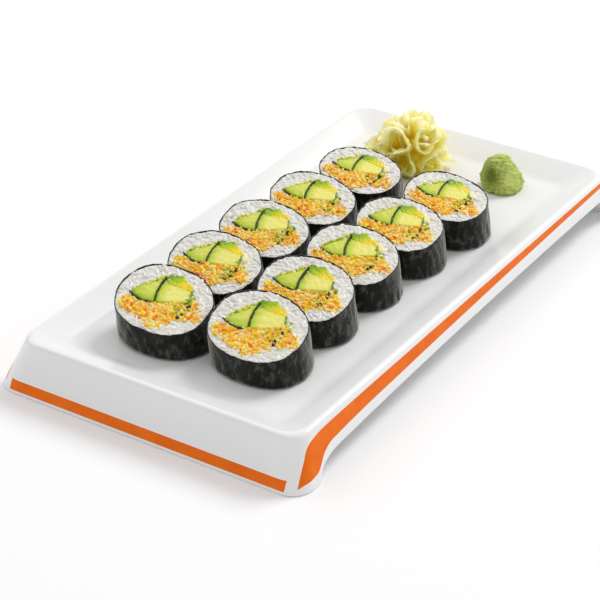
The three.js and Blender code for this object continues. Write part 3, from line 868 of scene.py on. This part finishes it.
def make_rice(roll):
    """The rice: a lumpy body that fills the wrap, with whole grains pressed into its cut face."""
    rng = np.random.default_rng(roll.seed)
    shapes = Shapes()
    levels = (*RICE_LEVELS, roll.rice_z - 0.9, roll.rice_z - 0.3)
    rings = [roll.wrapped(circle(RICE_SIDES), z, RICE_INSET) for z in levels]
    rim = roll.rim(RICE_INSET)

    def bed(flat):
        return roll.rice_z + 0.14 * waves(flat, 7, roll.seed + 5) + 0.08 * waves(flat, 2, roll.seed + 6)

    for reach in (0.99, *np.linspace(0.975, 0.04, 36)):
        rings.append(np.column_stack([rim * reach, bed(rim * reach)]))
    shapes.add(*capped_loft(rings), tint=0.42)

    fillings = (CUCUMBER_LEFT, CUCUMBER_RIGHT, LETTUCE, CARROT_BAND)
    areas = [corners_cut(roll.filling(area)) for area in fillings]
    skin = along_path(roll.filling(CUCUMBER_RIGHT_SKIN), 0.5)

    def on_rice(tried):
        return is_inside(tried, rim * 0.955) & is_clear(tried, areas) & (distance_to(tried, skin) > 1.6)

    box = ((-ROLL_HALF_X, ROLL_HALF_X), (-ROLL_HALF_Y, ROLL_HALF_Y))
    points, triangles = BALL
    rim_heading, rim_reach = np.arctan2(rim[:, 1], rim[:, 0]), np.hypot(rim[:, 0], rim[:, 1])
    for spot in spots(rng, box, RICE_GRAIN_SPACING, 9000, on_rice):
        grain = points * [rng.uniform(*span) for span in RICE_GRAIN]
        grain[:, 1] += 0.025 * grain[:, 0] ** 2
        grain = turned(grain, rng.uniform(0, TAU), rng.normal(0, 0.1), rng.uniform(0, TAU))
        grain += (*spot, bed(spot[None, :])[0] - rng.uniform(*RICE_GRAIN_SUNK))
        heading = np.arctan2(grain[:, 1], grain[:, 0])
        limit = np.interp(heading, rim_heading, rim_reach, period=TAU) - 0.15
        grain[:, :2] *= np.minimum(1, limit / np.hypot(grain[:, 0], grain[:, 1]))[:, None]
        shapes.add(grain, triangles, tint=np.clip(rng.normal(0.7, 0.24), 0, 1))
    roll.add_layer("rice", shapes, "sushi_rice")


def crumb(rng, size, length):
    """A small uneven crumb of about size millimetres across, longer by length."""
    points, triangles = BALL
    bumps = np.maximum(1 + 0.3 * waves(points, 2.2, int(rng.integers(1e6)), 5), 0.4)
    blocky = np.sign(points) * np.abs(points) ** 0.65
    shape = blocky * bumps[:, None] * size / 2 * (length, 1, rng.uniform(0.55, 0.9))
    return turned(shape, rng.uniform(0, TAU), rng.normal(0, 0.4), rng.uniform(0, TAU)), triangles


def make_carrot(roll):
    """Grated carrot: a packed bed with loose crumbs and shreds in its upper face."""
    rng = np.random.default_rng(roll.seed + 20)
    shapes = Shapes()
    outline = corners_cut(roll.filling(CARROT_BAND), 1)

    def bed_top(flat, depth):
        lumps = 0.35 * waves(flat, 2.4, roll.seed + 21) + 0.2 * waves(flat, 1.1, roll.seed + 22)
        return roll.rice_z - 0.05 + lumps - edge_drop(depth, 0.7, 0.8)

    points, triangles, _ = slab(outline, 0.8, roll.rice_z - FILLING_DEPTH, bed_top)
    tint = 0.42 + 0.15 * waves(points[:, :2], 2, roll.seed + 23)
    shapes.add(points, triangles, tint=np.clip(tint, 0.2, 0.7))

    cucumbers = [corners_cut(roll.filling(area)) for area in (CUCUMBER_LEFT, CUCUMBER_RIGHT)]
    reds = roll.filling(RED_CRUMBS)
    rim = roll.rim(NORI_THICKNESS + 1.5)

    def on_carrot(tried):
        return is_inside(tried, outline * 1.03) & is_inside(tried, rim) & is_clear(tried, cucumbers)

    tints, shares = list(CARROT_TINTS), list(CARROT_TINTS.values())
    for spot in spots(rng, box_round(outline, 0.6), CARROT_SPACING, 7000, on_carrot):
        sizes, lengths = CARROT_SHRED if rng.random() < CARROT_SHRED_SHARE else CARROT_CRUMB
        shape, faces = crumb(rng, rng.uniform(*sizes), rng.uniform(*lengths))
        near_red = np.hypot(*(reds - spot).T).min() < 0.85
        tint = CARROT_RED_TINT if near_red else rng.choice(tints, p=shares)
        level = 0.1 if near_red else rng.uniform(-0.3, 0.3)
        shapes.add(shape + (*spot, roll.rice_z + level), faces, tint=tint + rng.uniform(-0.04, 0.04))
    roll.add_layer("carrot", shapes, "grated_carrot")


def ribbon(path, half_width, bottom, top, rng):
    """A thin closed strip that stands along a path."""
    path = along_path(path, 0.5)
    heading = np.gradient(path, axis=0)
    heading /= np.linalg.norm(heading, axis=1)[:, None]
    across = np.column_stack([-heading[:, 1], heading[:, 0]])
    count = len(path)
    taper = np.sqrt(np.clip(1 - np.abs(np.linspace(-1, 1, count)) ** 6, 0.05, 1))
    width = half_width * taper * rng.uniform(0.7, 1.25, count)
    height = top + rng.uniform(-0.12, 0.12, count)
    section = [(-1, 0), (-1, 1), (-0.5, 1.06), (0.5, 1.06), (1, 1), (1, 0)]
    rings = [np.column_stack([path + across * (side * width)[:, None], bottom + (height - bottom) * level])
             for side, level in section]
    corners = len(section)
    ends = []
    for start, order in ((0, 1), ((count - 1) * corners, -1)):
        ends += [[start, start + i, start + i + 1][::order] for i in range(1, corners - 1)]
    return np.stack(rings, axis=1).reshape(-1, 3), np.concatenate([loft_triangles(count, corners), ends])


def make_cucumber(roll):
    """Two cucumber sticks, cut across, each with its dark skin along one side."""
    rng = np.random.default_rng(roll.seed + 40)
    shapes = Shapes()
    for number, (outline, skin_path, paleness) in enumerate([
        (CUCUMBER_LEFT, CUCUMBER_LEFT_SKIN, 0.62),
        (CUCUMBER_RIGHT, CUCUMBER_RIGHT_SKIN, 1.1),
    ]):
        edge = corners_cut(roll.filling(outline), 1)
        rind = along_path(roll.filling(skin_path), 0.3)
        tilt = rng.normal(0, 0.02, 2)
        seed = roll.seed + 41 + number

        def flesh_top(flat, depth):
            grain = 0.07 * waves(flat, 1.5, seed) + 0.12 * waves(flat, 4, seed + 3)
            return roll.rice_z + 0.75 + grain + flat @ tilt - edge_drop(depth, 0.4, 0.5)

        points, triangles, depth = slab(edge, 0.7, roll.rice_z - FILLING_DEPTH, flesh_top)
        near_skin = np.clip(distance_to(points, rind) / 7, 0, 1)
        # Painted shade: the flesh is darker within 1.8 mm of each stick's edge.
        out_of_edge_shade = np.clip(depth / 1.8, 0, 1)
        tint = (0.2 + 0.8 * near_skin * paleness) * (0.45 + 0.55 * out_of_edge_shade)
        shapes.add(points, triangles, tint=np.clip(tint, 0, 1))
        points, triangles = ribbon(roll.filling(skin_path), 0.45, roll.rice_z - 2, roll.rice_z + 0.85, rng)
        shapes.add(points, triangles, finish=1)
    roll.add_layer("cucumber", shapes, "cucumber_flesh", "cucumber_skin")


def make_greens(roll):
    """Lettuce behind the cucumber, shreds round the filling, sesame, and egg in some slices."""
    rng = np.random.default_rng(roll.seed + 60)
    shapes = Shapes()

    def ruffled_top(flat, depth):
        ruffle = 0.5 - np.abs(waves(flat, 3.2, roll.seed + 61))
        return roll.rice_z + 0.55 + 0.5 * ruffle - edge_drop(depth, 0.6, 0.8)

    for area in (LETTUCE, LETTUCE_FRINGE):
        outline = corners_cut(roll.filling(area), 1, 0.1)
        points, triangles, _ = slab(outline, 0.5, roll.rice_z - FILLING_DEPTH, ruffled_top)
        u, v = roll.unturned(points)
        fringe_tone = 0.5 + 0.3 * waves(points[:, :2], 4, roll.seed + 63)
        leaf_tone = 1.05 - 2.2 * (v - 0.3) + 0.9 * (u - 0.3)
        shapes.add(points, triangles, tint=np.clip(leaf_tone if area is LETTUCE else fringe_tone, 0, 1))

    for area, spacing, sizes, tints in [
        (LETTUCE_FRINGE, 1.6, (0.7, 1.2), (0.6, 1.0)),
        (GREEN_POCKET, 1.9, (0.8, 1.5), (0.1, 0.7)),
    ]:
        outline = roll.filling(area)
        for spot in spots(rng, box_round(outline), spacing, 1500, lambda tried: is_inside(tried, outline)):
            shape, faces = crumb(rng, rng.uniform(*sizes), rng.uniform(1.2, 2.2))
            level = rng.uniform(0.1, 0.7)
            shapes.add(shape + (*spot, roll.rice_z + level), faces, tint=rng.uniform(*tints))

    path = roll.filling(CUCUMBER_END_SHREDS)
    shapes.add(*ribbon(path, 0.4, roll.rice_z - 1, roll.rice_z + 0.8, rng), tint=0.12)

    for spot in roll.filling(SESAME) + rng.normal(0, 0.3, (len(SESAME), 2)):
        shape, faces = crumb(rng, rng.uniform(1.1, 1.6), 1.4)
        shapes.add(shape + (*spot, roll.rice_z + 0.75), faces, finish=1)

    if roll.label in ROLLS_WITH_EGG:
        def egg_top(flat, depth):
            return roll.rice_z + 0.9 + 0.2 * waves(flat, 2, roll.seed + 62) - edge_drop(depth, 0.6, 1)

        outline = corners_cut(roll.filling(EGG_CHUNK), 1)
        points, triangles, _ = slab(outline, 0.6, roll.rice_z - 1.5, egg_top)
        shapes.add(points, triangles, finish=2)
    roll.add_layer("greens", shapes, "lettuce", "black_sesame", "egg")


def make_rolls():
    for row in ROWS:
        for number in range(1, ROLLS_PER_ROW + 1):
            roll = Roll(row, number)
            for make_layer in (make_nori, make_rice, make_carrot, make_cucumber, make_greens):
                make_layer(roll)


# ---- Pickled ginger ----


def folded_slice(fold):
    """A thin slice of ginger rolled into a funnel whose side edges overlap."""
    length_steps, width_steps = [np.linspace(0, 1, cells + 1) for cells in FOLD_CELLS]
    along, around = np.meshgrid(length_steps, width_steps, indexing="ij")
    angle = around * (TAU + FOLD_OVERLAP)
    radius = (FOLD_ROOT_RADIUS + (fold["mouth"] - FOLD_ROOT_RADIUS) * along) * (0.93 + 0.1 * around)
    lobe = 1 + FOLD_LOBE_DEPTH * along * np.cos(FOLD_LOBES * angle + fold["lobe_phase"])
    wave = FOLD_RIM_WAVE * along ** 2 * np.cos(2 * angle + fold["wave_phase"])
    flat = np.stack([along * fold["length"], np.cos(angle) * radius, np.sin(angle) * radius], axis=-1)
    flat = flat.reshape(-1, 3)
    seed = fold["seed"]
    crumple = (0.9 * waves(flat, 9, seed) + 0.3 * waves(flat, 3.5, seed + 1)).reshape(along.shape)
    ragged = 0.5 * waves(flat, 4, seed + 2).reshape(along.shape) * along ** 3
    edge = np.maximum(np.abs(2 * around - 1), along) ** 10
    half_thickness = FOLD_THICKNESS / 2 * np.sqrt(1 - 0.85 * edge)
    layers = []
    for shift in (half_thickness, -half_thickness):
        reach = radius * lobe + crumple * along - FOLD_THICKNESS / 2 + shift
        made = np.stack([fold["start"] + fold["length"] * along + wave + ragged, reach * np.cos(angle),
                         reach * fold["squash"] * np.sin(angle)], axis=-1).reshape(-1, 3)
        layers.append(turned(made, fold["heading"], -fold["lift"], fold["roll"]))
    return np.concatenate(layers), sheet_triangles(*FOLD_CELLS)


def sheet_triangles(length_cells, width_cells):
    """Faces of a thin closed sheet: a lower grid of points, then an upper one."""
    layer = (length_cells + 1) * (width_cells + 1)
    grid = np.arange(layer).reshape(length_cells + 1, -1)
    cells = np.stack([grid[:-1, :-1], grid[1:, :-1], grid[1:, 1:], grid[:-1, 1:]], axis=-1).reshape(-1, 4)
    sheet = cells[:, [0, 1, 2, 0, 2, 3]].reshape(-1, 3)
    rim = np.concatenate([grid[:-1, 0], grid[-1, :-1], grid[:0:-1, -1], grid[0, :0:-1]])
    following = np.roll(rim, -1)
    wall = np.stack([rim, following, following + layer, rim, following + layer, rim + layer], axis=1)
    return np.concatenate([sheet[:, ::-1], sheet + layer, wall.reshape(-1, 3)])


def ginger_core():
    """The inside of the heap: a lumpy dome."""
    angle = circle(GINGER_CORE_SIDES)
    reach_x, reach_y, height = GINGER["core"]
    rings = []
    for rise in np.linspace(0, 0.97, GINGER_CORE_LEVELS):
        reach = math.sqrt(1 - rise ** 2)
        flat = np.column_stack([reach_x * reach * np.cos(angle), reach_y * reach * np.sin(angle)])
        flat *= 1 + 0.05 * waves(flat, 9, GINGER["seed"])[:, None]
        rings.append(np.column_stack([flat, np.full(len(flat), height * rise)]))
    return capped_loft(rings)


def ginger_folds():
    """The folds of the heap, tier by tier, each with a smaller one inside it."""
    source = random_source(GINGER["seed"])
    for level, tier in enumerate(GINGER_TIERS):
        for number in range(tier["count"]):
            heading = tier["heading"] + (number + between(source, -0.12, 0.12)) * 360 / tier["count"]
            fold = {
                "heading": math.radians(heading),
                "lift": math.radians(tier["lift"] + between(source, -7, 7)),
                "roll": between(source, -0.5, 0.5),
                "start": tier["start"],
                "length": tier["length"] * between(source, 0.88, 1.12),
                "mouth": tier["mouth"] * between(source, 0.88, 1.12),
                "squash": between(source, 0.6, 0.95),
                "lobe_phase": between(source, 0, TAU),
                "wave_phase": between(source, 0, TAU),
                "seed": 10 * number + 100 * level,
            }
            yield fold
            yield dict(fold, mouth=0.72 * fold["mouth"], length=0.8 * fold["length"],
                       roll=fold["roll"] + 2.1, squash=0.55 * fold["squash"],
                       lobe_phase=fold["wave_phase"], seed=fold["seed"] + 3)


def make_ginger():
    """The core and its folds, grown together into one skin."""
    shapes = Shapes()
    shapes.add(*ginger_core())
    for fold in ginger_folds():
        points, triangles = folded_slice(fold)
        points[:, 2] = np.maximum(points[:, 2] + GINGER["middle_z"], GINGER_UNDERSIDE)
        shapes.add(points, triangles)
    origin = np.array([GINGER["x"], GINGER["y"], FLOOR_Z + TOUCH_GAP])
    piece = shapes.piece("ginger_slices", ["pickled_ginger"], lambda points: points + origin)
    skin = piece.modifiers.new("one_skin", "REMESH")
    skin.mode = "VOXEL"
    skin.voxel_size = GINGER_SKIN_CELL * MM
    apply_modifiers(piece)
    piece.data.shade_smooth()
    points = np.array([vertex.co for vertex in piece.data.vertices]) / MM
    from_middle = np.linalg.norm(points - origin - (0, 0, GINGER["middle_z"]), axis=1)
    # Painted shade: deep gold near the heap's middle, in its hollows, paling outwards.
    set_tint(piece.data, np.clip((from_middle - GINGER_HOLLOW_SHADE_REACH) / GINGER_HOLLOW_SHADE_FADE, 0, 1))
    dress(piece, "pickled_ginger")


# ---- Wasabi ----


def pressed(angle, z, spot):
    """How far (0 to 1) points of the mound lie within a pressed spot."""
    turn = (angle - math.radians(spot["heading"]) + math.pi) % TAU - math.pi
    distance = np.hypot(turn / math.radians(spot["half_angle"]), (z - spot["z"]) / spot["half_height"])
    return 0.5 + 0.5 * np.cos(math.pi * np.clip(distance, 0, 1))


def make_wasabi():
    """A pinched mound of paste with a thumb's hollow, a flat face and a grainy skin."""
    angle = circle(WASABI_SIDES)
    seed = WASABI["seed"]
    rings = []
    tints = []
    for z, radius in along_path(curve_points(WASABI_PROFILE, 12), WASABI_STEP):
        share = z / WASABI_PROFILE[-1][0]
        level = np.full(len(angle), z)
        hollow = pressed(angle, level, WASABI_HOLLOW)
        face = pressed(angle, level, WASABI_FACE)
        flat = np.column_stack([np.cos(angle), np.sin(angle)]) * radius
        around = np.column_stack([flat, level])
        grain = waves(around, 1.5, seed + 1)
        rough = 0.5 * waves(around, 7, seed + 2) + 0.3 * waves(around, 3, seed) + 0.16 * grain
        calm = 1 - 0.85 * np.clip(hollow + face, 0, 1)
        depth = WASABI_HOLLOW["depth"] * hollow + WASABI_FACE["depth"] * face
        scale = 1 + (calm * rough * (0.2 if z == 0 else 1) - depth) / max(radius, 4)
        moved = flat * scale[:, None] + np.array(WASABI["lean"]) * share
        rings.append(np.column_stack([moved, np.maximum(z + 0.3 * calm * rough * share, 0)]))
        # Painted shade darkens the thumb's hollow; the flat face is lighter and the grain varies the tint.
        tints.append(np.clip(0.6 - 0.75 * hollow + 0.25 * face + 0.2 * calm * grain, 0, 1))
    shapes = Shapes()
    shapes.add(*capped_loft(rings), tint=np.concatenate([*tints, [0.5, 0.5]]))
    origin = np.array([WASABI["x"], WASABI["y"], FLOOR_Z + TOUCH_GAP])
    piece = shapes.piece("wasabi_mound", ["wasabi_paste"], lambda points: points + origin)
    dress(piece, "wasabi")


BALL = unit_ball()
make_finishes()
make_camera()
make_light()
make_floor()
make_plate()
make_rolls()
make_ginger()
make_wasabi()
